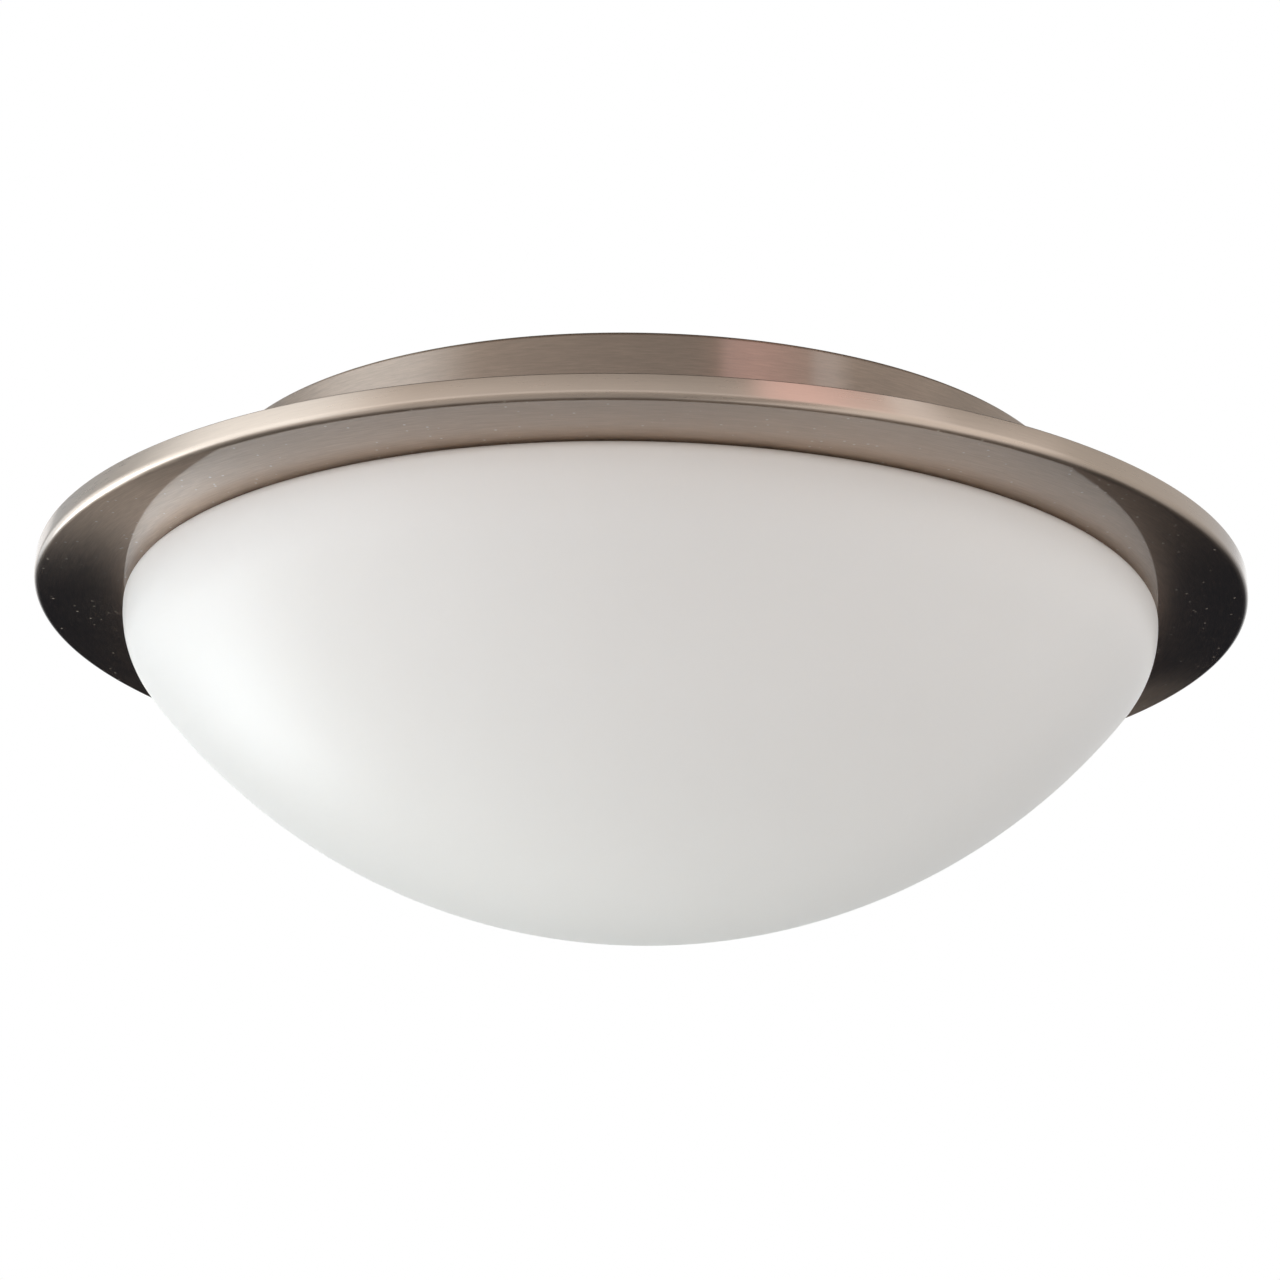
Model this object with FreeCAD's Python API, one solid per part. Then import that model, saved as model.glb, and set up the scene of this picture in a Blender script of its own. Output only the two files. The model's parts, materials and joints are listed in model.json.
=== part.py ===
import FreeCAD, Part
import math
import os

# Flush mount ceiling light: a pressed pan with a wide brim, an opal glass bowl that twists
# onto three spring clips inside the pan, and two screw lamps lying side by side in the bowl.
# Millimetres. Z points up, the ceiling is the plane z = 0 and everything hangs below it.
# The origin is the middle of the pan's back, halfway between the two ceiling screws.

V = FreeCAD.Vector
UP = V(0, 0, 1)
ORIGIN = V(0, 0, 0)

# Pan
sheet = 1.0                  # steel thickness
canopy_radius = 141.0        # the upright wall against the ceiling
canopy_corner = 1.3          # outer bend between back and wall
pan_depth = 43.8             # ceiling to the lowest edge of the brim
rim_radius = 195.0           # outside of the brim
lip_height = 7.0             # upturned edge of the brim
lip_corner = 2.2             # outer bend between brim and lip
brim_corner = 4.5            # outer bend between wall and brim
brim_dish_deg = 2.0          # the brim rises towards the wall
rivet_radius = 1.6
rivet_head_radius = 3.0
rivet_crown_radius = 1.9
rivet_head_height = 1.4
hole_clearance = 0.1         # round a rivet or a screw
flush_gap = 0.1              # a shank ends this far below the ceiling
overcut = 1.0                # a cutter reaches this far past what it cuts

# Ceiling screws and cable entry
ceiling_screw_spacing = 160.0
ceiling_slot_length = 14.0
ceiling_slot_width = 5.5
entry_hole_radius = 8.0
entry_dimple_depth = 3.5
grommet_bore_radius = 4.5
grommet_flange_reach = 2.8   # flange beyond the entry hole
grommet_flange_thickness = 1.6
grommet_dimple_gap = 3.2     # flange to the dimple's slope
press_fit = 0.05             # between pieces pushed together

# Opal glass bowl
glass_wall = 3.5
bowl_radius = 166.9          # widest, just under the brim
bowl_rim_corner = 3.6        # round the top of the bowl
bowl_shoulder_radius = 32.0  # turns the side into the cap
bowl_drop = 143.1            # ceiling to the lowest point of the bowl
brim_gap = 0.4               # between the brim and the bowl's top
neck_height = 12.2           # bowl's top to the top of its neck
neck_corner = 2.5
bead_reach = 5.0             # bead beyond the neck
bead_height = 4.4
bead_chamfer = 1.2
bead_side_gap = 3.1          # between the bead and the upright of a clip
bead_gap = 0.3               # between the bead and the sleeve that carries it
notch_clearance = 3.5        # each side of a clip
notch_angle = 30.0           # how far the bowl turns to come off
stop_gap = 0.2               # between a stop lug and a sleeve
stop_length = 6.0            # moulded lug that ends the turn against a clip
stop_height = 3.0

# Spring clips
clip_count = 3
clip_width = 18.0
clip_sheet = 0.9
clip_wall_gap = 2.0          # between clip and canopy wall
clip_foot = 24.0
clip_bend = 2.2
clip_hook_reach = 7.6
clip_rivet_edge = 4.0
clip_rivet_pitch = 8.0
sleeve_wall = 0.8
sleeve_side_wall = 0.3
sleeve_length = 5.6

# Lamps: screw cap 27 mm, round bulb 60 mm across
lamp_count = 2
lamp_gap = 12.0              # between the two bulbs
lamp_block_gap = 5.5         # between the bulbs and the terminal block above them
lamp_length = 105.0
bulb_radius = 30.0
bulb_wall = 0.9
bulb_tail = 8.0              # stretch of the bulb inside its cap
bulb_neck_length = 2.5       # straight stretch outside its cap
bulb_neck_overhang = 0.6     # bulb neck beyond the cap
cap_radius = 13.2
cap_wall = 0.5
cap_length = 24.0
cap_chamfer = 1.5
cap_shoulder = 2.0
tip_height = 3.0
tip_radius = 4.7
tip_crown_radius = 3.2
tip_crown_height = 1.0
insulator_inset = 4.2        # cap to the insulator's edge
insulator_cone = 2.4
insulator_rim = 1.0
cap_fit = 0.4                # bulb neck inside the cap and beyond its end

# Lampholders
bracket_neck_gap = 6.7       # a bracket's corners to the bowl's neck
holder_base_length = 12.0
holder_waist = 1.6           # the base is this much slimmer than the skirt
holder_skirt_step = 5.0      # base to the start of the skirt
holder_skirt_slope = 3.0
holder_edge = 1.4            # rounding of the skirt's front edge
ceramic_wall = 5.7
shell_wall = 0.5
shell_length = 24.0
shell_inset = 3.0            # shell to each end of its cavity
shell_gap = 0.5              # lamp cap to shell
shell_seat = 0.1             # shell to ceramic
contact_strip = 0.5
contact_width = 6.0
contact_rise = 3.8
contact_tail = 8.0           # lamp axis to the fixed end
contact_heel = 2.8           # lamp axis to the lower bend
contact_knee = 0.8           # lamp axis to the upper bend
contact_toe = 6.0            # lamp axis to the free end
contact_bend = 1.2
contact_gap = 0.3            # lamp tip to contact
holder_screw_radius = 1.5
holder_screw_spacing = 22.0
holder_screw_depth = 8.0
screw_point_gap = 2.0        # a blind hole beyond the screw's end
screw_head_radius = 2.8
screw_head_height = 2.0

# Lampholder brackets
bracket_sheet = 1.2
bracket_width = 34.0
bracket_foot = 22.0
bracket_leg_below_axis = 15.0
bracket_bend = 2.6
bracket_rivet_from_back = 14.0
bracket_rivet_spacing = 20.0

# Terminal block
pole_count = 3
pole_pitch = 12.0
block_margin = 7.0           # end pole to the end of the block
block_width = 20.0
block_height = 13.5
block_round = 1.2
block_offset = 32.0          # pan centre to the block's middle
pole_rise = 0.4              # poles above the block's middle
tube_bore_radius = 2.7
tube_wall = 0.8
tube_inset = 2.0             # tube to the block's face
tube_seat = 0.1
terminal_screw_radius = 1.5
terminal_screw_spacing = 9.0
terminal_screw_length = 4.2
terminal_screw_gap = 0.15    # screw to lead
terminal_screw_clearance = 0.2
block_screw_radius = 1.25
block_screw_head_radius = 2.3
block_screw_head_height = 1.6
block_screw_sink = 1.0       # head below the block's face

# Leads
lead_radius = 1.1
lead_bend = 8.0
lead_gap = 0.4               # between leads that lie over each other
lead_hole_clearance = 0.2
lead_inner_lane = 10.0       # block face to the nearer row of leads
lead_lane_pitch = 6.0
lead_turn_step = 2.0         # between the places where two leads turn
lead_entry_near = 3.0        # lampholder back to its first lead hole
lead_entry_far = 9.0
lead_entry_side = 5.0        # lamp axis to a lead hole
lead_end_height = 9.0        # lamp axis to the end of a lead inside the ceramic
lead_corner_cut = 36.0       # the long leads cut this corner on their way round

# Earth connection
earth_x = 62.0
earth_y = -82.0
earth_screw_radius = 2.0
earth_head_radius = 3.8
earth_head_height = 2.4
earth_slot_width = 1.0
earth_washer_radius = 4.3
earth_washer_thickness = 0.6
earth_lead_aim_x = 24.0      # last pole to the point that the lug looks at
earth_lead_aim_y = 6.0       # outer row of leads to that point
earth_lead_rise = 14.0       # lug to the bend towards the ceiling
earth_lead_level = 26.0      # lug to the bend into the upper row
lug_ring_radius = 4.6
lug_thickness = 0.8
lug_tongue_width = 3.2
lug_tongue_reach = 2.4
lug_barrel_gap = 0.4         # ring to barrel
lug_barrel_length = 7.0
lug_barrel_wall = 0.6
lug_back_gap = 0.2           # barrel to the pan's back
lug_lead_inset = 1.0         # barrel's end to the end of the lead inside it

# Pan, bowl and clips fit each other
back_underside = -sheet
brim_rise = math.tan(math.radians(brim_dish_deg))
bowl_seat_run = rim_radius - lip_corner - bowl_radius + bowl_rim_corner
bowl_top = -pan_depth + bowl_seat_run * brim_rise - brim_gap
neck_top = bowl_top + neck_height
bead_bottom = neck_top - bead_height
clip_face_radius = canopy_radius - sheet - clip_wall_gap
bead_radius = clip_face_radius - clip_sheet - bead_side_gap
neck_radius = bead_radius - bead_reach
clip_hook_top = bead_bottom - bead_gap - sleeve_wall - press_fit
notch_width = clip_width + 2 * notch_clearance
sleeve_half_width = clip_width / 2 + press_fit + sleeve_side_wall
grommet_flange_radius = entry_hole_radius + grommet_flange_reach
entry_dimple_radius = grommet_flange_radius + grommet_dimple_gap

# Terminal block and leads
tube_radius = tube_bore_radius + tube_wall
tube_length = block_width - 2 * tube_inset
pole_height = back_underside - block_height / 2 + pole_rise
upper_lead = pole_height + lead_radius + lead_gap / 2
lower_lead = pole_height - lead_radius - lead_gap / 2

# Lamps in their holders, holders between the block and the bowl's neck
lamp_spacing = 2 * bulb_radius + lamp_gap
lamp_drop = block_height - back_underside + lamp_block_gap + bulb_radius
shell_radius = cap_radius + shell_gap + shell_wall
cavity_radius = shell_radius + shell_seat
holder_radius = cavity_radius + ceramic_wall
holder_base_radius = holder_radius - holder_waist
holder_length = holder_base_length + shell_length + 2 * shell_inset
insulator_radius = cap_radius - insulator_inset
bulb_neck_radius = cap_radius + bulb_neck_overhang
lamp_tip_from_back = holder_base_length + contact_rise + contact_strip + contact_gap
bracket_corner_radius = neck_radius - glass_wall - bracket_neck_gap
bracket_corner_side = (lamp_spacing + bracket_width) / 2
bracket_back_distance = math.sqrt(bracket_corner_radius ** 2 - bracket_corner_side ** 2)
holder_back_distance = bracket_back_distance - bracket_sheet


def rounded_wire(corners):
    """Closed wire in the XZ plane through (x, z, radius) corners, each with its own rounding."""
    count = len(corners)
    points = [V(x, 0, z) for x, z, _ in corners]
    stops = []
    for i, (_, _, radius) in enumerate(corners):
        here = points[i]
        if radius <= 0:
            stops.append((here, None, here))
            continue
        back = (points[i - 1] - here).normalize()
        ahead = (points[(i + 1) % count] - here).normalize()
        half = back.getAngle(ahead) / 2
        reach = radius / math.tan(half)
        inward = (back + ahead).normalize()
        middle = here + inward * (radius / math.sin(half) - radius)
        stops.append((here + back * reach, middle, here + ahead * reach))
    edges = []
    for i, (start, middle, finish) in enumerate(stops):
        if middle is not None:
            edges.append(Part.Arc(start, middle, finish).toShape())
        following = stops[(i + 1) % count][0]
        if (following - finish).Length > 1e-6:
            edges.append(Part.makeLine(finish, following))
    return Part.Wire(edges)


def parallel_path(path, thickness):
    """The same bent path, moved to its left by the thickness, with its bends kept concentric."""
    headings = []
    for (x0, z0, _), (x1, z1, _) in zip(path[:-1], path[1:]):
        length = math.hypot(x1 - x0, z1 - z0)
        headings.append(((x1 - x0) / length, (z1 - z0) / length))
    moved = []
    last = len(path) - 1
    for i, (x, z, radius) in enumerate(path):
        before = headings[max(i - 1, 0)]
        after = headings[min(i, last - 1)]
        turn = before[0] * after[1] - before[1] * after[0]
        scale = thickness / (1 + before[0] * after[0] + before[1] * after[1])
        new_x = x - (before[1] + after[1]) * scale
        new_z = z + (before[0] + after[0]) * scale
        new_radius = radius
        if radius > 0:
            new_radius = radius - thickness * math.copysign(1, turn)
        moved.append((new_x, new_z, new_radius))
    return moved


def sheet_corners(path, thickness):
    """Outline of a bent sheet whose one face follows the path; the metal lies to its left."""
    return path + parallel_path(path, thickness)[::-1]


def revolved(corners):
    """Solid of revolution about Z from (radius, z, rounding) corners."""
    return Part.Face(rounded_wire(corners)).revolve(ORIGIN, UP, 360)


def turned(corners):
    """Solid of revolution about X from (radius, x, rounding) corners."""
    shape = revolved(corners)
    shape.rotate(ORIGIN, V(0, 1, 0), 90)
    return shape


def strip(path, thickness, width):
    """Bent metal strip: a sheet section in XZ, with its width centred on Y."""
    face = Part.Face(rounded_wire(sheet_corners(path, thickness)))
    face.translate(V(0, -width / 2, 0))
    return face.extrude(V(0, width, 0))


def post(x, y, low, high, radius):
    """Upright round bar from one height to another."""
    return Part.makeCylinder(radius, high - low, V(x, y, low), UP)


def side_bar(x, y, z, length, radius):
    """Round bar along X."""
    return Part.makeCylinder(radius, length, V(x, y, z), V(1, 0, 0))


def box(low, high):
    """Box between two opposite corners."""
    return Part.makeBox(high[0] - low[0], high[1] - low[1], high[2] - low[2], V(*low))


def around(shape, angle):
    """A copy turned about the pan's axis."""
    copy = shape.copy()
    copy.rotate(ORIGIN, UP, angle)
    return copy


def lead(points):
    """Round lead along straight runs joined by tangent bends."""
    stops = [V(*p) for p in points]
    edges = []
    here = stops[0]
    for i in range(1, len(stops) - 1):
        corner = stops[i]
        back = (stops[i - 1] - corner).normalize()
        ahead = (stops[i + 1] - corner).normalize()
        half = back.getAngle(ahead) / 2
        reach = lead_bend / math.tan(half)
        inward = (back + ahead).normalize()
        start = corner + back * reach
        middle = corner + inward * (lead_bend / math.sin(half) - lead_bend)
        finish = corner + ahead * reach
        edges.append(Part.makeLine(here, start))
        edges.append(Part.Arc(start, middle, finish).toShape())
        here = finish
    edges.append(Part.makeLine(here, stops[-1]))
    spine = Part.Wire(edges)
    ring = Part.Wire([Part.makeCircle(lead_radius, stops[0], stops[1] - stops[0])])
    return spine.makePipeShell([ring], True, False)


def clip_angles():
    return [360.0 / clip_count * i for i in range(clip_count)]


def pole_x(index):
    return (index - (pole_count - 1) / 2) * pole_pitch


def clip_rivet_radii():
    inner = clip_face_radius - clip_foot + clip_rivet_edge
    return [inner, inner + clip_rivet_pitch]


def clip_rivet_places():
    places = []
    for angle in clip_angles():
        for radius in clip_rivet_radii():
            turn = math.radians(angle)
            places.append((radius * math.cos(turn), radius * math.sin(turn)))
    return places


def bracket_rivet_places():
    places = []
    for side in (1, -1):
        x = side * (bracket_rivet_from_back - holder_back_distance)
        for step in (-0.5, 0.5):
            places.append((x, side * (lamp_spacing / 2 + step * bracket_rivet_spacing)))
    return places


def block_screw_places():
    return [(pole_x(i) + pole_pitch / 2, -block_offset) for i in range(pole_count - 1)]


def at_station(shape, index):
    """Move a piece from a lamp's own axes to its place; the second lamp faces the first."""
    copy = shape.copy()
    copy.translate(V(-holder_back_distance, lamp_spacing / 2, -lamp_drop))
    return around(copy, 180 * index)


# Pan

def ceiling_pan():
    brim_run = rim_radius - canopy_radius
    outer_face = [
        (entry_hole_radius, -entry_dimple_depth, 0),
        (entry_dimple_radius, -entry_dimple_depth, 0),
        (entry_dimple_radius + entry_dimple_depth, 0, 0),
        (canopy_radius, 0, canopy_corner),
        (canopy_radius, -pan_depth + sheet + brim_run * brim_rise, brim_corner - sheet),
        (rim_radius - sheet, -pan_depth + sheet + sheet * brim_rise, lip_corner - sheet),
        (rim_radius - sheet, -pan_depth + lip_height, 0),
    ]
    pan = revolved(sheet_corners(outer_face, -sheet))
    holes = []
    for x, y in clip_rivet_places() + bracket_rivet_places():
        holes.append(post(x, y, -2 * sheet, sheet, rivet_radius + hole_clearance))
    for x, y in block_screw_places():
        holes.append(post(x, y, -2 * sheet, sheet, block_screw_radius + hole_clearance))
    holes.append(post(earth_x, earth_y, -2 * sheet, sheet, earth_screw_radius + hole_clearance))
    straight = (ceiling_slot_length - ceiling_slot_width) / 2
    half = ceiling_slot_width / 2
    for side in (1, -1):
        y = side * ceiling_screw_spacing / 2
        holes.append(box((-half, y - straight, -2 * sheet), (half, y + straight, sheet)))
        for end in (-straight, straight):
            holes.append(post(0, y + end, -2 * sheet, sheet, half))
    return pan.cut(Part.makeCompound(holes))


def cable_grommet():
    """Rubber ring with a flange on each side of the pan's back."""
    sheet_top = -entry_dimple_depth
    sheet_bottom = sheet_top - sheet
    seat = entry_hole_radius - press_fit
    return revolved([
        (grommet_bore_radius, sheet_top + grommet_flange_thickness, 0),
        (grommet_flange_radius, sheet_top + grommet_flange_thickness, 0),
        (grommet_flange_radius, sheet_top, 0),
        (seat, sheet_top, 0),
        (seat, sheet_bottom, 0),
        (grommet_flange_radius, sheet_bottom, 0),
        (grommet_flange_radius, sheet_bottom - grommet_flange_thickness, 0),
        (grommet_bore_radius, sheet_bottom - grommet_flange_thickness, 0),
    ])


# Glass bowl

def bowl_face(inset, top, inner_radius):
    """Region inside the bowl's surface, drawn in by the inset, out from an inner radius."""
    side = bowl_radius - inset
    rim = bowl_rim_corner - inset
    shoulder = bowl_shoulder_radius - inset
    level = bowl_top - bowl_rim_corner
    bottom = -bowl_drop + inset
    out = side - shoulder
    drop = level - bottom
    cap = (out ** 2 + drop ** 2 - shoulder ** 2) / (2 * (drop - shoulder))
    cap_centre = bottom + cap
    meet = math.atan2(cap_centre - level, out)

    def on_shoulder(angle):
        return V(out + shoulder * math.cos(angle), 0, level - shoulder * math.sin(angle))

    def on_cap(angle):
        return V(cap * math.cos(angle), 0, cap_centre - cap * math.sin(angle))

    rim_middle = V(side - rim + rim * math.sqrt(0.5), 0, level + rim * math.sqrt(0.5))
    rim_start = V(side - rim, 0, level + rim)
    edges = [
        Part.makeLine(V(0, 0, bottom), V(0, 0, top)),
        Part.makeLine(V(0, 0, top), V(inner_radius, 0, top)),
        Part.makeLine(V(inner_radius, 0, top), V(inner_radius, 0, rim_start.z)),
        Part.makeLine(V(inner_radius, 0, rim_start.z), rim_start),
        Part.Arc(rim_start, rim_middle, V(side, 0, level)).toShape(),
        Part.Arc(on_shoulder(0), on_shoulder(meet / 2), on_shoulder(meet)).toShape(),
        Part.Arc(on_cap(meet), on_cap((meet + math.pi / 2) / 2), V(0, 0, bottom)).toShape(),
    ]
    return Part.Face(Part.Wire(edges))


def bowl_bead():
    """Ring round the top of the neck, and the thickening where the neck leaves the bowl."""
    neck_middle = neck_radius - glass_wall / 2
    bead = revolved([
        (neck_middle, neck_top, 0),
        (bead_radius - bead_chamfer, neck_top, 0),
        (bead_radius, neck_top - bead_chamfer, 0),
        (bead_radius, bead_bottom + bead_chamfer, 0),
        (bead_radius - bead_chamfer, bead_bottom, 0),
        (neck_middle, bead_bottom, 0),
    ])
    root = revolved([
        (neck_middle, bowl_top - glass_wall / 2, 0),
        (neck_middle, bowl_top + neck_corner, 0),
        (neck_radius, bowl_top + neck_corner, 0),
        (neck_radius + neck_corner, bowl_top, 0),
        (neck_radius + neck_corner, bowl_top - glass_wall / 2, 0),
    ])
    return [bead, root]


def bead_notch(angle):
    """Cutter for the gap in the bead that lets a clip's hook through."""
    notch = box((neck_radius, -notch_width / 2, bead_bottom - overcut),
                (bead_radius + overcut, notch_width / 2, neck_top + overcut))
    return around(notch, angle)


def stop_lug(angle):
    """Moulded lug under the bead that meets the side of a clip when the bowl is locked."""
    start = sleeve_half_width + stop_gap
    lug = box((neck_radius - glass_wall / 2, -start - stop_length, bead_bottom - stop_height),
              (bead_radius - bead_chamfer, -start, bead_bottom + bead_height / 2))
    return around(lug, angle)


def glass_shade():
    outside = bowl_face(0, neck_top, neck_radius).revolve(ORIGIN, UP, 360)
    inside = bowl_face(glass_wall, neck_top + glass_wall, neck_radius - glass_wall)
    shade = outside.cut(inside.revolve(ORIGIN, UP, 360)).fuse(bowl_bead())
    notches = [bead_notch(angle + notch_angle) for angle in clip_angles()]
    lugs = [stop_lug(angle) for angle in clip_angles()]
    return shade.cut(Part.makeCompound(notches)).fuse(lugs).removeSplitter()


# Clips

def glass_clip(angle):
    """Bent strip, riveted flat under the pan's back, with a hook for the bead."""
    face = clip_face_radius
    path = [
        (face - clip_foot, back_underside, 0),
        (face, back_underside, clip_bend),
        (face, clip_hook_top - clip_sheet, clip_bend),
        (face - clip_hook_reach, clip_hook_top - clip_sheet, 0),
    ]
    clip = strip(path, -clip_sheet, clip_width)
    for radius in clip_rivet_radii():
        hole = post(radius, 0, back_underside - 2 * clip_sheet, 0, rivet_radius + hole_clearance)
        clip = clip.cut(hole)
    return around(clip, angle)


def clip_sleeve(angle):
    """Soft sleeve pushed over the hook, where the glass rests."""
    tip = clip_face_radius - clip_hook_reach
    inner_half = clip_width / 2 + press_fit
    low = clip_hook_top - clip_sheet - press_fit
    high = clip_hook_top + press_fit
    outer = box((tip - sleeve_wall, -sleeve_half_width, low - sleeve_wall),
                (tip + sleeve_length - sleeve_wall, sleeve_half_width, high + sleeve_wall))
    inner = box((tip - press_fit, -inner_half, low), (tip + sleeve_length, inner_half, high))
    return around(outer.cut(inner), angle)


def rivet(x, y, grip):
    """Rivet with a tapered head below the grip and its other end flush in the pan's back."""
    under = back_underside - grip
    shank = post(x, y, under - rivet_head_height / 2, -flush_gap, rivet_radius)
    head = Part.makeCone(rivet_crown_radius, rivet_head_radius, rivet_head_height,
                         V(x, y, under - rivet_head_height), UP)
    return head.fuse(shank).removeSplitter()


# Lampholders and lamps, drawn along X from the back of the lampholder

def lampholder_bracket():
    top = lamp_drop + back_underside
    path = [
        (bracket_foot, top, 0),
        (-bracket_sheet, top, bracket_bend),
        (-bracket_sheet, -bracket_leg_below_axis, 0),
    ]
    bracket = strip(path, bracket_sheet, bracket_width)
    for step in (-0.5, 0.5):
        rivet_hole = post(bracket_rivet_from_back, step * bracket_rivet_spacing,
                          top - 2 * bracket_sheet, top + overcut, rivet_radius + hole_clearance)
        screw_hole = side_bar(-2 * bracket_sheet, step * holder_screw_spacing, 0,
                              3 * bracket_sheet, holder_screw_radius + hole_clearance)
        bracket = bracket.cut(rivet_hole).cut(screw_hole)
    return bracket


def lead_entries():
    """Lead holes on top of the ceramic base, as (x, y): live first, then neutral."""
    return [(lead_entry_far, lead_entry_side), (lead_entry_near, -lead_entry_side)]


def lampholder_body():
    """Ceramic cup with a slimmer base behind its skirt."""
    skirt = holder_base_length + holder_skirt_step
    body = turned([
        (0, 0, 0),
        (holder_base_radius, 0, holder_edge),
        (holder_base_radius, skirt - holder_skirt_slope, 0),
        (holder_radius, skirt, 0),
        (holder_radius, holder_length, holder_edge),
        (cavity_radius, holder_length, 0),
        (cavity_radius, holder_base_length, 0),
        (0, holder_base_length, 0),
    ])
    for x, y in lead_entries():
        body = body.cut(post(x, y, lead_end_height - lead_radius, holder_radius,
                             lead_radius + lead_hole_clearance))
    for step in (-0.5, 0.5):
        hole_length = overcut + holder_screw_depth + screw_point_gap
        body = body.cut(side_bar(-overcut, step * holder_screw_spacing, 0, hole_length,
                                 holder_screw_radius + hole_clearance))
    return body


def lampholder_shell():
    start = holder_base_length + shell_inset
    return turned([
        (shell_radius - shell_wall, start, 0),
        (shell_radius, start, 0),
        (shell_radius, start + shell_length, 0),
        (shell_radius - shell_wall, start + shell_length, 0),
    ])


def lampholder_contact():
    """Leaf spring that rises from the ceramic to meet the lamp's tip."""
    base = holder_base_length
    path = [
        (base, -contact_tail, 0),
        (base, -contact_heel, contact_bend),
        (base + contact_rise, contact_knee, contact_bend),
        (base + contact_rise, contact_toe, 0),
    ]
    return strip(path, -contact_strip, contact_width)


def lampholder_screws():
    screws = []
    for step in (-0.5, 0.5):
        y = step * holder_screw_spacing
        shank = side_bar(-bracket_sheet, y, 0, bracket_sheet + holder_screw_depth, holder_screw_radius)
        head = side_bar(-bracket_sheet - screw_head_height, y, 0, screw_head_height, screw_head_radius)
        screws.append(shank.fuse(head).removeSplitter())
    return screws


def lamp_tip():
    """Solder button, tapered towards the contact."""
    tip = lamp_tip_from_back
    return turned([
        (0, tip, 0),
        (tip_crown_radius, tip, 0),
        (tip_radius, tip + tip_crown_height, 0),
        (tip_radius, tip + tip_height, 0),
        (0, tip + tip_height, 0),
    ])


def lamp_insulator():
    start = lamp_tip_from_back + tip_height
    return turned([
        (0, start, 0),
        (tip_radius, start, 0),
        (insulator_radius, start + insulator_cone, 0),
        (insulator_radius, start + insulator_cone + insulator_rim, 0),
        (0, start + insulator_cone + insulator_rim, 0),
    ])


def lamp_cap():
    """Thin metal cup, open towards the bulb, with a bevelled bottom round the insulator."""
    start = lamp_tip_from_back + tip_height
    bottom = start + insulator_cone
    outer_face = [
        (insulator_radius + press_fit, bottom, 0),
        (cap_radius - cap_chamfer, bottom, 0),
        (cap_radius, bottom + cap_shoulder, 0),
        (cap_radius, start + cap_length, 0),
    ]
    return turned(sheet_corners(outer_face, cap_wall))


def bulb_face(inset):
    """Half section of the bulb, drawn in by the inset: tail, neck, hollow curve, round end."""
    tip = lamp_tip_from_back
    cap_end = tip + tip_height + cap_length
    neck = bulb_neck_radius - inset
    ball = bulb_radius - inset
    centre = tip + lamp_length - bulb_radius
    neck_end = cap_end + bulb_neck_length
    along = centre - neck_end
    curve = (along ** 2 + neck ** 2 - ball ** 2) / (2 * (ball - neck))
    turn = math.atan2(neck + curve, along)
    seat = cap_radius - cap_wall - cap_fit - inset
    collar = cap_end + cap_fit
    start = collar - bulb_tail - inset
    hollow = V(neck_end, 0, neck + curve)

    def on_curve(angle):
        return hollow + V(curve * math.sin(angle), 0, -curve * math.cos(angle))

    def on_ball(angle):
        return V(centre - ball * math.cos(angle), 0, ball * math.sin(angle))

    sweep = math.pi / 2 - turn
    edges = [
        Part.makeLine(V(start, 0, 0), V(start, 0, seat)),
        Part.makeLine(V(start, 0, seat), V(collar + inset, 0, seat)),
        Part.makeLine(V(collar + inset, 0, seat), V(collar + inset, 0, neck)),
        Part.makeLine(V(collar + inset, 0, neck), V(neck_end, 0, neck)),
        Part.Arc(on_curve(0), on_curve(sweep / 2), on_curve(sweep)).toShape(),
        Part.Arc(on_ball(turn), on_ball((turn + math.pi) / 2), on_ball(math.pi)).toShape(),
        Part.makeLine(on_ball(math.pi), V(start, 0, 0)),
    ]
    return Part.Face(Part.Wire(edges))


def lamp_bulb():
    """Thin glass bulb, open where its tail sits in the cap."""
    outside = bulb_face(0).revolve(ORIGIN, V(1, 0, 0), 360)
    inside = bulb_face(bulb_wall).revolve(ORIGIN, V(1, 0, 0), 360)
    return outside.cut(inside)


# Terminal block

def terminal_block():
    half = pole_x(pole_count - 1) + block_margin
    near = -block_offset - block_width / 2
    far = -block_offset + block_width / 2
    low = back_underside - block_height
    block = box((-half, near, low), (half, far, back_underside))
    upright = [edge for edge in block.Edges if edge.BoundBox.ZLength > block_height / 2]
    block = block.makeFillet(block_round, upright)
    bores = []
    for i in range(pole_count):
        bores.append(Part.makeCylinder(tube_radius + tube_seat, block_width + 2 * overcut,
                                       V(pole_x(i), near - overcut, pole_height), V(0, 1, 0)))
        for step in (-0.5, 0.5):
            y = -block_offset + step * terminal_screw_spacing
            bores.append(post(pole_x(i), y, low - overcut, pole_height,
                              terminal_screw_radius + terminal_screw_clearance))
    for x, y in block_screw_places():
        seat = low + block_screw_head_height + block_screw_sink
        bores.append(post(x, y, low - overcut, overcut, block_screw_radius + hole_clearance))
        bores.append(post(x, y, low - overcut, seat, block_screw_head_radius + hole_clearance))
    return block.cut(Part.makeCompound(bores))


def terminal_tubes():
    tubes = []
    for i in range(pole_count):
        start = V(pole_x(i), -block_offset - tube_length / 2, pole_height)
        tube = Part.makeCylinder(tube_radius, tube_length, start, V(0, 1, 0))
        tube = tube.cut(Part.makeCylinder(tube_bore_radius, tube_length, start, V(0, 1, 0)))
        for step in (-0.5, 0.5):
            y = -block_offset + step * terminal_screw_spacing
            tube = tube.cut(post(pole_x(i), y, pole_height - 2 * tube_radius, pole_height,
                                 terminal_screw_radius + hole_clearance))
        tubes.append(tube)
    return tubes


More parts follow.
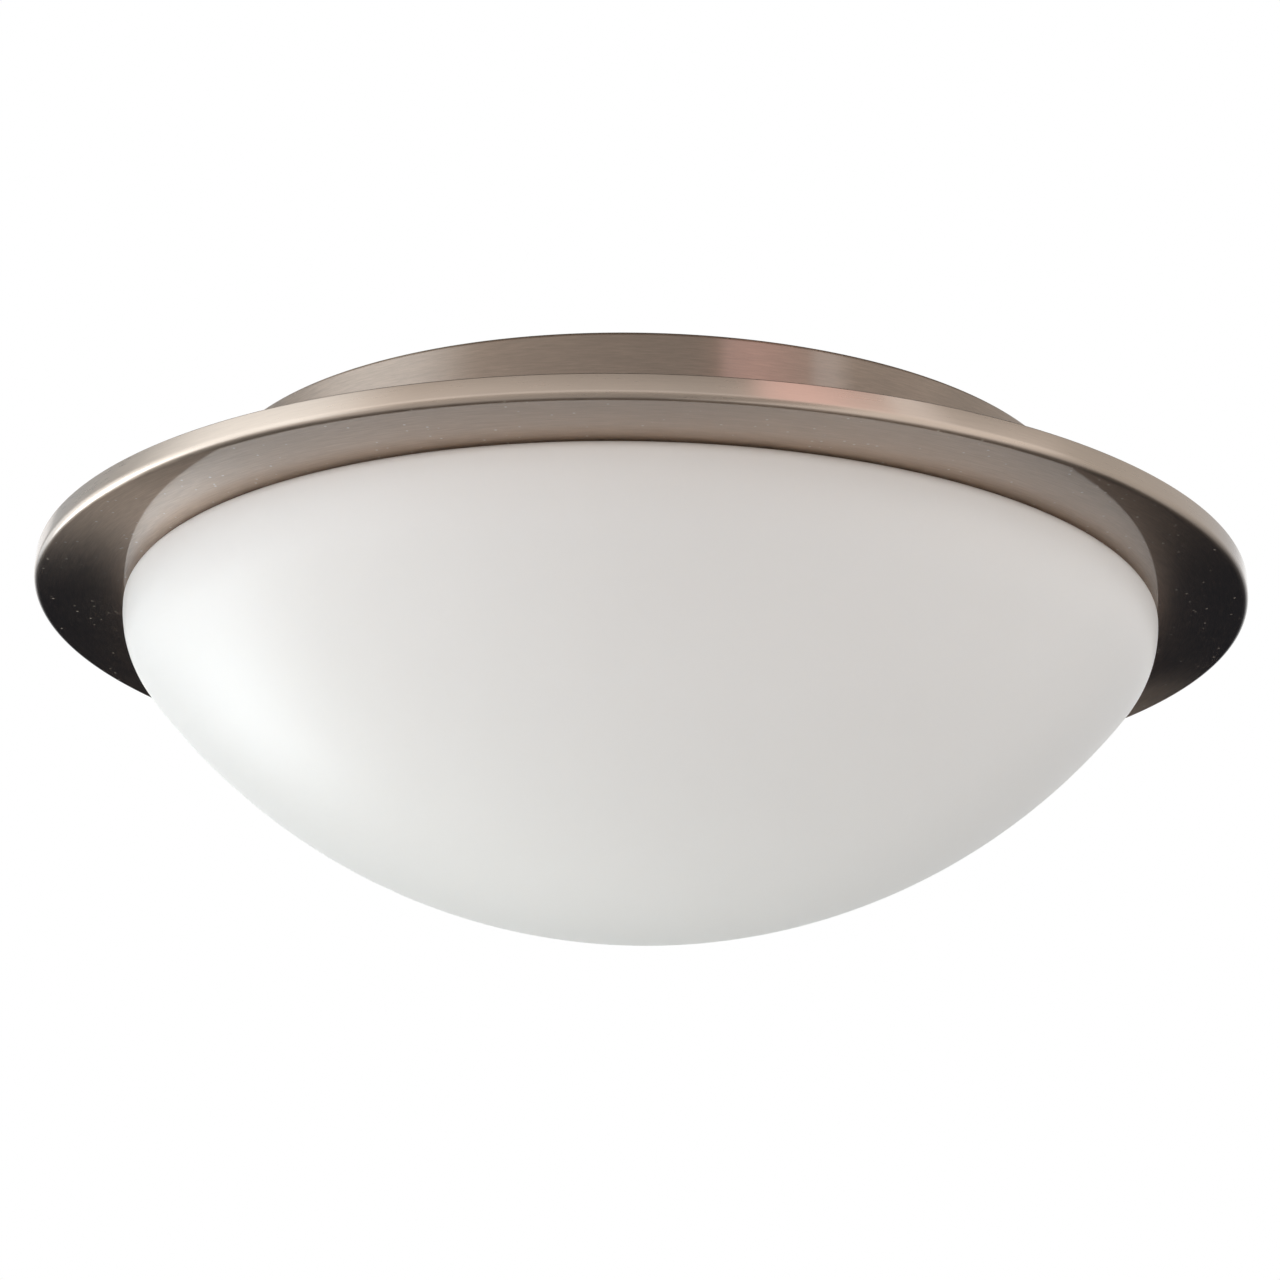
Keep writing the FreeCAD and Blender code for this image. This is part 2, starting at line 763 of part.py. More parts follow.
def terminal_screws():
    """Two clamping screws to a pole, their tips just short of the leads."""
    tip = lower_lead - lead_radius - terminal_screw_gap
    screws = []
    for i in range(pole_count):
        for step in (-0.5, 0.5):
            y = -block_offset + step * terminal_screw_spacing
            screws.append(post(pole_x(i), y, tip - terminal_screw_length, tip, terminal_screw_radius))
    return screws


def block_screws():
    seat = back_underside - block_height + block_screw_head_height + block_screw_sink
    screws = []
    for x, y in block_screw_places():
        shank = post(x, y, seat, -flush_gap, block_screw_radius)
        head = post(x, y, seat - block_screw_head_height, seat, block_screw_head_radius)
        screws.append(shank.fuse(head).removeSplitter())
    return screws


# Leads

def lead_lane(index):
    """Row in which a lead runs along X after it has left the block."""
    return -block_offset - block_width / 2 - lead_inner_lane - index * lead_lane_pitch


def entry_place(index, hole):
    """Where a lead goes down into a lampholder, in the pan's own axes."""
    x, y = lead_entries()[hole]
    side = 1 - 2 * index
    return side * (x - holder_back_distance), side * (y + lamp_spacing / 2)


def lead_start(pole, level):
    return (pole_x(pole), -block_offset, level)


def long_lead(pole, hole, lane):
    """Lead round to the first lampholder, on the upper level."""
    x, y = entry_place(0, hole)
    row = lead_lane(lane)
    cut = lead_corner_cut
    return lead([
        lead_start(pole, upper_lead),
        (pole_x(pole), row, upper_lead),
        (x + cut, row, upper_lead),
        (x, row + cut, upper_lead),
        (x, y, upper_lead),
        (x, y, lead_end_height - lamp_drop),
    ])


def short_lead(pole, hole, lane):
    """Lead across to the second lampholder, on the lower level."""
    x, y = entry_place(1, hole)
    row = lead_lane(lane)
    turn_x = pole_x(pole_count - 1) + 2 * lead_bend + lane * lead_turn_step
    return lead([
        lead_start(pole, lower_lead),
        (pole_x(pole), row, lower_lead),
        (turn_x, row, lower_lead),
        (turn_x + (y - row), y, lower_lead),
        (x, y, lower_lead),
        (x, y, lead_end_height - lamp_drop),
    ])


# Earth connection

def lug_heading():
    """Direction from the earth screw back along its lead, level with the ceiling."""
    aim = V(pole_x(pole_count - 1) + earth_lead_aim_x, lead_lane(1) - earth_lead_aim_y, 0)
    return (aim - V(earth_x, earth_y, 0)).normalize()


def lug_barrel_start():
    """Middle of the barrel's end beside the ring."""
    height = back_underside - lug_back_gap - lead_radius - lug_barrel_wall - press_fit
    return V(earth_x, earth_y, height) + lug_heading() * (lug_ring_radius + lug_barrel_gap)


def earth_lug():
    """Ring terminal with a barrel pressed round the lead."""
    centre = V(earth_x, earth_y, back_underside - lug_thickness)
    ring = Part.makeCylinder(lug_ring_radius, lug_thickness, centre, UP)
    hole = Part.makeCylinder(earth_screw_radius + hole_clearance, lug_thickness, centre, UP)
    ahead = lug_heading()
    start = lug_barrel_start()
    bore_radius = lead_radius + press_fit
    outer = Part.makeCylinder(bore_radius + lug_barrel_wall, lug_barrel_length, start, ahead)
    inner = Part.makeCylinder(bore_radius, lug_barrel_length, start, ahead)
    tongue = box((0, -lug_tongue_width / 2, back_underside - lug_thickness),
                 (lug_ring_radius + lug_tongue_reach, lug_tongue_width / 2, back_underside))
    tongue.rotate(ORIGIN, UP, math.degrees(math.atan2(ahead.y, ahead.x)))
    tongue.translate(V(earth_x, earth_y, 0))
    flat = ring.fuse(tongue).cut(hole)
    return flat.fuse(outer).cut(inner).removeSplitter()


def earth_washer():
    low = back_underside - lug_thickness - earth_washer_thickness
    washer = post(earth_x, earth_y, low, low + earth_washer_thickness, earth_washer_radius)
    bore = post(earth_x, earth_y, low - overcut, 0, earth_screw_radius + hole_clearance)
    return washer.cut(bore)


def earth_screw():
    seat = back_underside - lug_thickness - earth_washer_thickness
    shank = post(earth_x, earth_y, seat, -flush_gap, earth_screw_radius)
    head = post(earth_x, earth_y, seat - earth_head_height, seat, earth_head_radius)
    half_slot = earth_slot_width / 2
    slot = box((earth_x - earth_head_radius, earth_y - half_slot, seat - earth_head_height),
               (earth_x + earth_head_radius, earth_y + half_slot, seat - earth_head_height / 2))
    return shank.fuse(head).cut(slot).removeSplitter()


def earth_lead():
    ahead = lug_heading()
    end = lug_barrel_start() + ahead * lug_lead_inset
    rise = end + ahead * earth_lead_rise
    away = end + ahead * earth_lead_level
    last = pole_count - 1
    return lead([
        lead_start(last, upper_lead),
        (pole_x(last), lead_lane(0), upper_lead),
        (away.x, away.y, upper_lead),
        (rise.x, rise.y, end.z),
        (end.x, end.y, end.z),
    ])


def build():
    """Every node's solids, by name."""
    nodes = {
        "ceiling_pan": [ceiling_pan()],
        "cable_grommet": [cable_grommet()],
        "terminal_block": [terminal_block()],
        "terminal_tubes": terminal_tubes(),
        "terminal_screws": terminal_screws(),
        "block_screws": block_screws(),
        "earth_lug": [earth_lug()],
        "earth_washer": [earth_washer()],
        "earth_screw": [earth_screw()],
        "earth_lead": [earth_lead()],
        "live_lead_1": [long_lead(0, 0, 0)],
        "neutral_lead_1": [long_lead(1, 1, 1)],
        "live_lead_2": [short_lead(0, 0, 1)],
        "neutral_lead_2": [short_lead(1, 1, 0)],
        "clip_rivets": [rivet(x, y, clip_sheet) for x, y in clip_rivet_places()],
        "bracket_rivets": [rivet(x, y, bracket_sheet) for x, y in bracket_rivet_places()],
        "glass_shade": [glass_shade()],
        "lampholder_screws": [],
    }
    for number, angle in enumerate(clip_angles(), 1):
        nodes["glass_clip_%d" % number] = [glass_clip(angle)]
        nodes["clip_sleeve_%d" % number] = [clip_sleeve(angle)]
    station_pieces = {
        "lampholder_bracket": lampholder_bracket(),
        "lampholder_body": lampholder_body(),
        "lampholder_shell": lampholder_shell(),
        "lampholder_contact": lampholder_contact(),
        "lamp_tip": lamp_tip(),
        "lamp_insulator": lamp_insulator(),
        "lamp_cap": lamp_cap(),
        "lamp_bulb": lamp_bulb(),
    }
    for index in range(lamp_count):
        for name, shape in station_pieces.items():
            nodes["%s_%d" % (name, index + 1)] = [at_station(shape, index)]
        for screw in lampholder_screws():
            nodes["lampholder_screws"].append(at_station(screw, index))
    return nodes


def export(nodes):
    os.makedirs("parts", exist_ok=True)
    for name, shapes in nodes.items():
        shape = shapes[0] if len(shapes) == 1 else Part.makeCompound(shapes)
        shape.exportStep(os.path.join("parts", name + ".step"))
        print("%-22s %2d solids %10.1f mm3" % (name, len(shape.Solids), shape.Volume))


export(build())
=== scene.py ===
import json
import math

import bmesh
import bpy
from mathutils import Matrix, Vector


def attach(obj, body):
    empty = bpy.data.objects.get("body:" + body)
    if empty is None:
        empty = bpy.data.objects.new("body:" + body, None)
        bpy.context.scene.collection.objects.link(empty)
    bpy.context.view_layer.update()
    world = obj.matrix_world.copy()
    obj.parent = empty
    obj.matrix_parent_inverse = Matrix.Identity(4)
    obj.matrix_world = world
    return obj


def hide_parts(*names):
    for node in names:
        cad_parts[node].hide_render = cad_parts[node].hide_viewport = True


# Flush mount ceiling light seen from below: satin nickel pan and opal glass bowl.
# Metres, Z up, ceiling plane at z = 0.

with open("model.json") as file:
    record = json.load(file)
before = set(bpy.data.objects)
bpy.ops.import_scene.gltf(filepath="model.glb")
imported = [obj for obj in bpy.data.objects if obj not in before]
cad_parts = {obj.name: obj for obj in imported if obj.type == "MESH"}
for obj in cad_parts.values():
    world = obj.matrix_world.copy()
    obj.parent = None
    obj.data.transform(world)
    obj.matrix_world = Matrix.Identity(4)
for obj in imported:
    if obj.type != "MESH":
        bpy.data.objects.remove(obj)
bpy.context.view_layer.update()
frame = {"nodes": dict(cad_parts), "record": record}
NODES = frame["nodes"]

# Sizes of the pan and the bowl, in metres
SHEET = 0.001
CANOPY_RADIUS = 0.141
CANOPY_CORNER = 0.0013
BRIM_LEVEL = -0.0438
RIM_RADIUS = 0.195
LIP_HEIGHT = 0.007
LIP_CORNER = 0.0022
BRIM_CORNER = 0.0045
BRIM_RISE = math.tan(math.radians(2.0))
EDGE = 0.00035                   # broken edge of the cut sheet
ENTRY_RADIUS = 0.008
DIMPLE_RADIUS = 0.014
DIMPLE_DEPTH = 0.0035
DIMPLE_BEND = 0.0012
GLASS = 0.0035
BOWL_RADIUS = 0.1669
BOWL_RIM = 0.0036
BOWL_SHOULDER = 0.032
BOWL_BOTTOM = -0.1431
BRIM_GAP = 0.0004
BRIM_OVER_BOWL = RIM_RADIUS - LIP_CORNER - BOWL_RADIUS + BOWL_RIM
BOWL_TOP = BRIM_LEVEL + BRIM_OVER_BOWL * BRIM_RISE - BRIM_GAP
NECK_HEIGHT = 0.0122
NECK_TOP = BOWL_TOP + NECK_HEIGHT
NECK_CORNER = 0.0025
NECK_INNER_BEND = 0.0015
NECK_LIP_BEND = 0.0010
NECK_LIFT = 0.0001               # keeps the neck's inner start clear of the side's end
CLIP_WALL_GAP = 0.002
CLIP_SHEET = 0.0009
BEAD_SIDE_GAP = 0.0031
BEAD_RADIUS = CANOPY_RADIUS - SHEET - CLIP_WALL_GAP - CLIP_SHEET - BEAD_SIDE_GAP
BEAD_REACH = 0.005
BEAD_HEIGHT = 0.0044
NECK_RADIUS = BEAD_RADIUS - BEAD_REACH
BEAD_BOTTOM = NECK_TOP - BEAD_HEIGHT
BEAD_ROUND = 0.0012
NOTCH_WIDTH = 0.025
NOTCH_TURN = 30.0
LUG_START = 0.00955
LUG_LENGTH = 0.006
LUG_DROP = 0.003
LUG_OVERLAP = 0.001
LUG_ROUND = 0.0008
CLIP_COUNT = 3
LEAST_BEND = 0.0003

# How finely the shapes are divided, and the angle from which an edge is sharp
ROUND_STEPS = 768
ARC_STEPS = 8
RIM_STEPS = 12
SHOULDER_STEPS = 24
DOME_STEPS = 72
BEAD_STEPS = 96
LUG_STEPS = 6
PAN_SHARP = 35.0
BOWL_SHARP = 40.0

# Holes in the pan's back
RIVET_HOLE = 0.0017
BLOCK_SCREW_HOLE = 0.00135
EARTH_SCREW_HOLE = 0.0021
SLOT_FROM_AXIS = 0.080
SLOT_HALF_WIDTH = 0.00275
SLOT_LENGTH = 0.014
CUT_LEVELS = (-0.006, 0.004)
CUT_SIDES = 48

# Camera, fitted to the rings in the photograph
CAMERA_DISTANCE = 0.84417        # in front of the light's axis
CAMERA_DROP = 0.32386            # below the ceiling
CAMERA_PITCH = math.radians(18.2315)
CAMERA_ROLL = math.radians(1.2044)
SENSOR = 36.0
LENS = 2711.76 * SENSOR / 1280

# Lamps: name, place, width, height, watts, colour
LAMP_TARGET = (0.0, 0.0, -0.06)
SOFTBOXES = (
    ("key softbox", (-1.2, -0.25, -0.45), 1.3, 1.3, 7.6, (0.96, 0.98, 1.0)),
    ("front light", (-0.2, -1.5, -0.22), 1.4, 0.5, 8.7, (1.0, 0.90, 0.82)),
    ("front fill", (0.9, -1.3, -0.55), 1.2, 0.9, 1.3, (1.0, 0.85, 0.78)),
    ("side fill", (1.35, 0.1, -0.35), 0.8, 1.2, 8.2, (1.0, 0.95, 0.90)),
    ("low back light", (-0.6, 0.8, -1.0), 1.6, 1.0, 13.8, (0.98, 1.0, 0.93)),
)

# Background, and the studio that only mirrors see
BACKDROP = 1.0
AMBIENT = 0.40
FAR_FLOOR = (0.014, 0.016, 0.021, 1.0)
FAR_HORIZON = (0.30, 0.32, 0.34, 1.0)
FAR_BACKDROP = (1.0, 1.0, 1.0, 1.0)
WARM_PANEL = (1.15, 0.86, 0.85, 1.0)
NARROW_STRIP = (1.0, 1.0, 1.02, 1.0)
LEFT_BOX_TINT = (0.91, 1.0, 1.07, 1.0)
RIGHT_BOX = (0.50, 0.50, 0.49, 1.0)
OVERHEAD = (0.05, 0.05, 0.05, 1.0)
FLOOR_RADIUS = 3.2
FLOOR_LEVEL = -1.9
FLOOR_FADE = (1.6, 3.1)
FLOOR_TONE = (0.86, 0.86, 0.86, 1.0)


# Node helpers

class Tree:
    """Short ways to add and join nodes in one node tree."""

    def __init__(self, tree):
        self.tree = tree
        self.nodes = tree.nodes
        self.column = 0

    def add(self, kind, values=None, **settings):
        node = self.nodes.new(kind)
        self.column += 1
        node.location = (self.column * 180, 0)
        for key, value in settings.items():
            setattr(node, key, value)
        for key, value in (values or {}).items():
            self.put(node.inputs[key], value)
        return node

    def put(self, socket, value):
        if isinstance(value, bpy.types.NodeSocket):
            self.tree.links.new(value, socket)
        else:
            socket.default_value = value

    def math(self, operation, first, second=0.0, third=0.0):
        node = self.add("ShaderNodeMath", operation=operation)
        self.put(node.inputs[0], first)
        self.put(node.inputs[1], second)
        self.put(node.inputs[2], third)
        return node.outputs[0]

    def times(self, first, second):
        return self.math("MULTIPLY", first, second)

    def remap(self, value, low, high, to_low=0.0, to_high=1.0, smooth=False):
        node = self.add("ShaderNodeMapRange", clamp=True)
        node.interpolation_type = "SMOOTHSTEP" if smooth else "LINEAR"
        self.put(node.inputs["Value"], value)
        self.put(node.inputs["From Min"], low)
        self.put(node.inputs["From Max"], high)
        self.put(node.inputs["To Min"], to_low)
        self.put(node.inputs["To Max"], to_high)
        return node.outputs["Result"]

    def mix(self, factor, first, second, blend="MIX"):
        node = self.add("ShaderNodeMix", data_type="RGBA", blend_type=blend)
        self.put(node.inputs[0], factor)
        self.put(node.inputs[6], first)
        self.put(node.inputs[7], second)
        return node.outputs[2]

    def noise(self, vector, scale, detail, rough, dimensions="3D", w=0.0):
        node = self.add("ShaderNodeTexNoise", noise_dimensions=dimensions)
        self.put(node.inputs["Vector"], vector)
        if dimensions == "4D":
            self.put(node.inputs["W"], w)
        self.put(node.inputs["Scale"], scale)
        self.put(node.inputs["Detail"], detail)
        self.put(node.inputs["Roughness"], rough)
        return node.outputs["Fac"]

    def place(self):
        return self.add("ShaderNodeTexCoord").outputs["Object"]

    def group(self, group, values=None):
        node = self.add("ShaderNodeGroup", node_tree=group)
        for key, value in (values or {}).items():
            self.put(node.inputs[key], value)
        return node


def new_group(name, inputs, outputs):
    """An empty shader node group with its named sockets."""
    group = bpy.data.node_groups.new(name, "ShaderNodeTree")
    for label, kind, value in inputs:
        socket = group.interface.new_socket(label, in_out="INPUT", socket_type=kind)
        socket.default_value = value
    for label, kind in outputs:
        group.interface.new_socket(label, in_out="OUTPUT", socket_type=kind)
    tree = Tree(group)
    return group, tree, tree.add("NodeGroupInput"), tree.add("NodeGroupOutput")


FLOAT = "NodeSocketFloat"


def ring_grain_group():
    """Brush lines that run round the Z axis, on walls and on flats alike."""
    group, tree, given, out = new_group(
        "ring grain",
        [("Lines", FLOAT, 2600.0), ("Streaks round", FLOAT, 5.0), ("Slow", FLOAT, 260.0)],
        [("Grain", FLOAT), ("Slow grain", FLOAT), ("Radius", FLOAT), ("Height", FLOAT)])
    parts = tree.add("ShaderNodeSeparateXYZ", {"Vector": tree.place()})
    x, y, z = parts.outputs
    radius = tree.math("SQRT", tree.math("ADD", tree.times(x, x), tree.times(y, y)))
    safe = tree.math("MAXIMUM", radius, 0.001)
    around_x = tree.math("DIVIDE", x, safe)
    around_y = tree.math("DIVIDE", y, safe)
    streak = given.outputs["Streaks round"]

    def lines(rate, around):
        vector = tree.add("ShaderNodeCombineXYZ", {
            "X": tree.times(around_x, around),
            "Y": tree.times(around_y, around),
            "Z": tree.times(radius, rate)})
        return tree.noise(vector.outputs[0], 1.0, 3.0, 0.6, "4D", tree.times(z, rate))

    fine = lines(given.outputs["Lines"], streak)
    slow = lines(given.outputs["Slow"], tree.times(streak, 0.35))
    tree.put(out.inputs["Grain"], fine)
    tree.put(out.inputs["Slow grain"], slow)
    tree.put(out.inputs["Radius"], radius)
    tree.put(out.inputs["Height"], z)
    return group


def specks_group():
    """Sparse dust specks on a surface."""
    group, tree, given, out = new_group(
        "dust specks",
        [("Density", FLOAT, 120.0), ("Amount", FLOAT, 0.5)],
        [("Specks", FLOAT)])
    cells = tree.add("ShaderNodeTexVoronoi", {
        "Vector": tree.place(), "Scale": given.outputs["Density"], "Randomness": 1.0})
    near = tree.remap(cells.outputs["Distance"], 0.08, 0.16, 1.0, 0.0)
    chance = tree.add("ShaderNodeSeparateColor", {"Color": cells.outputs["Color"]}).outputs[0]
    picked = tree.math("GREATER_THAN", chance, tree.math("SUBTRACT", 1.0, given.outputs["Amount"]))
    tree.put(out.inputs["Specks"], tree.times(near, picked))
    return group


def handling_group():
    """Slow changes of tone and polish that any handled or moulded surface has."""
    group, tree, given, out = new_group(
        "handling",
        [("Scale", FLOAT, 40.0), ("Fine", FLOAT, 900.0)],
        [("Cloud", FLOAT), ("Pits", FLOAT)])
    place = tree.place()
    tree.put(out.inputs["Cloud"], tree.noise(place, given.outputs["Scale"], 3.0, 0.55))
    tree.put(out.inputs["Pits"], tree.noise(place, given.outputs["Fine"], 2.0, 0.6))
    return group


RING_GRAIN = ring_grain_group()
SPECKS = specks_group()
HANDLING = handling_group()


def new_material(name):
    material = bpy.data.materials.new(name)
    material.use_nodes = True
    material.node_tree.nodes.clear()
    tree = Tree(material.node_tree)
    surface = tree.add("ShaderNodeBsdfPrincipled")
    output = tree.add("ShaderNodeOutputMaterial")
    tree.put(output.inputs["Surface"], surface.outputs[0])
    return material, tree, surface


def shade(colour, factor):
    return tuple(min(1.0, c * factor) for c in colour[:3]) + (1.0,)


def bump(tree, surface, height, distance, strength):
    node = tree.add("ShaderNodeBump",
                    {"Height": height, "Distance": distance, "Strength": strength})
    tree.put(surface.inputs["Normal"], node.outputs["Normal"])


# Visible finishes

NICKEL = (0.53, 0.385, 0.283)
LIP_SHEEN_NICKEL = (0.74, 0.58, 0.455)      # the lip's rolled edge in a brighter copy of the nickel: painted sheen
OPAL = (0.905, 0.895, 0.88)
DUST = (0.85, 0.84, 0.80, 1.0)
DUST_HEIGHTS = (-0.0405, -0.0415)     # dust comes in between these, on the brim only


def brushed_nickel():
    """Satin nickel plate, brushed round the pan: a clear mirror image under a brushed haze."""
    material, tree, surface = new_material("brushed nickel")
    grain = tree.group(RING_GRAIN, {"Lines": 2300.0, "Streaks round": 26.0, "Slow": 420.0})
    specks = tree.group(SPECKS, {"Density": 330.0, "Amount": 0.35})
    fine = grain.outputs["Grain"]
    slow = grain.outputs["Slow grain"]
    tone = tree.mix(tree.remap(fine, 0.30, 0.70), shade(NICKEL, 0.82), shade(NICKEL, 1.15))
    tone = tree.mix(tree.remap(slow, 0.35, 0.65, 0.0, 0.35), tone, shade(NICKEL, 0.94))
    # painted sheen: the lip's rounded corner and wall get a brighter copy of the nickel, and there
    # they are also less rough and carry less dust
    lip_sheen = tree.remap(grain.outputs["Radius"], RIM_RADIUS - LIP_CORNER,
                        RIM_RADIUS - LIP_CORNER / 3, smooth=True)
    tone = tree.mix(tree.times(lip_sheen, tree.remap(fine, 0.25, 0.75, 0.75, 1.0)),
                    tone, shade(LIP_SHEEN_NICKEL, 1.0))
    brim = tree.remap(grain.outputs["Height"], *DUST_HEIGHTS)
    off_lip_sheen = tree.math("SUBTRACT", 0.5, tree.times(lip_sheen, 0.5))
    dust = tree.times(specks.outputs["Specks"], tree.times(brim, off_lip_sheen))
    tree.put(surface.inputs["Base Color"], tree.mix(dust, tone, DUST))
    tree.put(surface.inputs["Metallic"], tree.math("SUBTRACT", 1.0, dust))
    rough = tree.math("ADD", tree.remap(fine, 0.3, 0.7, 0.36, 0.42),
                      tree.remap(slow, 0.3, 0.7, -0.02, 0.02))
    tree.put(surface.inputs["Roughness"], tree.math("SUBTRACT", rough, tree.times(lip_sheen, 0.09)))
    surface.inputs["Anisotropic"].default_value = 0.95
    surface.inputs["Anisotropic Rotation"].default_value = 0.25
    surface.inputs["Coat Weight"].default_value = 1.0
    surface.inputs["Coat Roughness"].default_value = 0.05
    surface.inputs["Coat IOR"].default_value = 1.9
    tangent = tree.add("ShaderNodeTangent", direction_type="RADIAL", axis="Z")
    tree.put(surface.inputs["Tangent"], tangent.outputs[0])
    bump(tree, surface, fine, 0.000004, 0.4)
    return material


def opal_glass():
    """Acid-satined white opal glass: soft light inside the wall, faint unevenness in the skin."""
    material, tree, surface = new_material("opal glass")
    soft = tree.group(HANDLING, {"Scale": 9.0, "Fine": 1500.0})
    cloud = soft.outputs["Cloud"]
    tree.put(surface.inputs["Base Color"],
             tree.mix(tree.remap(cloud, 0.3, 0.7), shade(OPAL, 0.99), shade(OPAL, 1.01)))
    tree.put(surface.inputs["Roughness"], tree.remap(soft.outputs["Pits"], 0.2, 0.8, 0.32, 0.42))
    surface.inputs["Specular IOR Level"].default_value = 0.4
    surface.inputs["IOR"].default_value = 1.5
    surface.inputs["Subsurface Weight"].default_value = 0.6
    surface.inputs["Subsurface Radius"].default_value = (0.018, 0.017, 0.016)
    surface.inputs["Subsurface Scale"].default_value = 1.0
    bump(tree, surface, soft.outputs["Pits"], 0.000010, 0.2)
    return material


# Finishes of the inner pieces

def plated(name, colour, rough, coarse=60.0):
    """Small metal piece: fine tool marks, uneven polish and a few darker patches."""
    material, tree, surface = new_material(name)
    marks = tree.group(HANDLING, {"Scale": coarse, "Fine": 1200.0})
    tone = tree.mix(tree.remap(marks.outputs["Cloud"], 0.3, 0.7),
                    shade(colour, 0.85), shade(colour, 1.08))
    tree.put(surface.inputs["Base Color"], tone)
    tree.put(surface.inputs["Roughness"],
             tree.remap(marks.outputs["Pits"], 0.25, 0.75, rough - 0.07, rough + 0.09))
    surface.inputs["Metallic"].default_value = 1.0
    bump(tree, surface, marks.outputs["Pits"], 0.00002, 0.4)
    return material


def moulded(name, colour, rough, coat=0.0, bump_depth=0.00003):
    """Plastic, rubber or ceramic: slight colour drift and a fine moulded or fired skin."""
    material, tree, surface = new_material(name)
    skin = tree.group(HANDLING, {"Scale": 30.0, "Fine": 700.0})
    tone = tree.mix(tree.remap(skin.outputs["Cloud"], 0.3, 0.7),
                    shade(colour, 0.93), shade(colour, 1.05))
    tree.put(surface.inputs["Base Color"], tone)
    tree.put(surface.inputs["Roughness"],
             tree.remap(skin.outputs["Pits"], 0.2, 0.8, rough - 0.05, rough + 0.08))
    surface.inputs["Coat Weight"].default_value = coat
    surface.inputs["Coat Roughness"].default_value = 0.08
    bump(tree, surface, skin.outputs["Pits"], bump_depth, 0.35)
    return material


def earth_insulation():
    """Green insulation with a yellow stripe that winds round the lead."""
    material, tree, surface = new_material("green and yellow insulation")
    wave = tree.add("ShaderNodeTexWave",
                    {"Vector": tree.place(), "Scale": 70.0, "Distortion": 0.6})
    wave.bands_direction = "DIAGONAL"
    stripe = tree.remap(wave.outputs["Fac"], 0.55, 0.62)
    skin = tree.group(HANDLING, {"Scale": 50.0, "Fine": 900.0})
    tone = tree.mix(stripe, (0.035, 0.26, 0.05, 1), (0.75, 0.62, 0.04, 1))
    tree.put(surface.inputs["Base Color"], tone)
    tree.put(surface.inputs["Roughness"], tree.remap(skin.outputs["Pits"], 0.2, 0.8, 0.38, 0.5))
    bump(tree, surface, skin.outputs["Pits"], 0.00002, 0.3)
    return material


def finishes():
    """Every material slot of the record, by name."""
    return {
        "brushed_nickel": brushed_nickel(),
        "opal_glass": opal_glass(),
        "spring_steel": plated("spring steel", (0.42, 0.42, 0.43), 0.30),
        "zinc_steel": plated("zinc plate", (0.60, 0.62, 0.64), 0.34, coarse=90.0),
        "sleeve_silicone": moulded("silicone sleeve", (0.78, 0.78, 0.75), 0.45),
        "grommet_rubber": moulded("grommet rubber", (0.025, 0.025, 0.026), 0.62),
        "block_nylon": moulded("moulded nylon", (0.80, 0.78, 0.72), 0.42),
        "brass": plated("brass", (0.70, 0.50, 0.22), 0.28),
        "tinned_copper": plated("tinned copper", (0.62, 0.61, 0.59), 0.33),
        "green_screw": plated("green passivated steel", (0.10, 0.30, 0.14), 0.35),
        "lead_live": moulded("brown insulation", (0.17, 0.065, 0.03), 0.42),
        "lead_neutral": moulded("blue insulation", (0.03, 0.12, 0.42), 0.42),
        "lead_earth": earth_insulation(),
        "holder_ceramic": moulded("glazed ceramic", (0.82, 0.81, 0.77), 0.22, coat=0.6),
        "shell_metal": plated("nickelled brass shell", (0.66, 0.60, 0.48), 0.26),
        "solder": plated("solder", (0.50, 0.50, 0.51), 0.38),
        "cap_insulator": moulded("black glass insulator", (0.012, 0.012, 0.014), 0.12, coat=0.5),
        "cap_aluminium": plated("rolled aluminium", (0.70, 0.70, 0.71), 0.30),
        "bulb_glass": moulded("soft white bulb", (0.86, 0.86, 0.84), 0.16,
                              coat=0.8, bump_depth=0.00001),
    }


def dress_nodes(materials):
    for part in frame["record"]["subparts"]:
        node = NODES[part["node"]]
        node.data.materials.clear()
        node.data.materials.append(materials[part["material_slot"]])


# Camera, light and stage

def add_camera():
    data = bpy.data.cameras.new("camera")
    data.lens = LENS
    data.sensor_width = SENSOR
    data.clip_start = 0.01
    data.clip_end = 60.0
    camera = bpy.data.objects.new("camera", data)
    bpy.context.scene.collection.objects.link(camera)
    forward = Vector((0.0, math.cos(CAMERA_PITCH), math.sin(CAMERA_PITCH)))
    level = Vector((1.0, 0.0, 0.0))
    above = level.cross(forward)
    right = math.cos(CAMERA_ROLL) * level + math.sin(CAMERA_ROLL) * above
    top = math.cos(CAMERA_ROLL) * above - math.sin(CAMERA_ROLL) * level
    turn = Matrix((right, top, -forward)).transposed().to_4x4()
    camera.matrix_world = Matrix.Translation((0.0, -CAMERA_DISTANCE, -CAMERA_DROP)) @ turn
    bpy.context.scene.camera = camera


def add_softbox(name, place, width, height, power, colour):
    """Area lamp that lights the part and isn't mirrored in it."""
    data = bpy.data.lights.new(name, "AREA")
    data.shape = "RECTANGLE"
    data.size = width
    data.size_y = height
    data.energy = power
    data.color = colour
    lamp = bpy.data.objects.new(name, data)
    bpy.context.scene.collection.objects.link(lamp)
    lamp.location = place
    aim = Vector(LAMP_TARGET) - Vector(place)
    lamp.rotation_euler = aim.to_track_quat("-Z", "Y").to_euler()
    lamp.visible_glossy = False


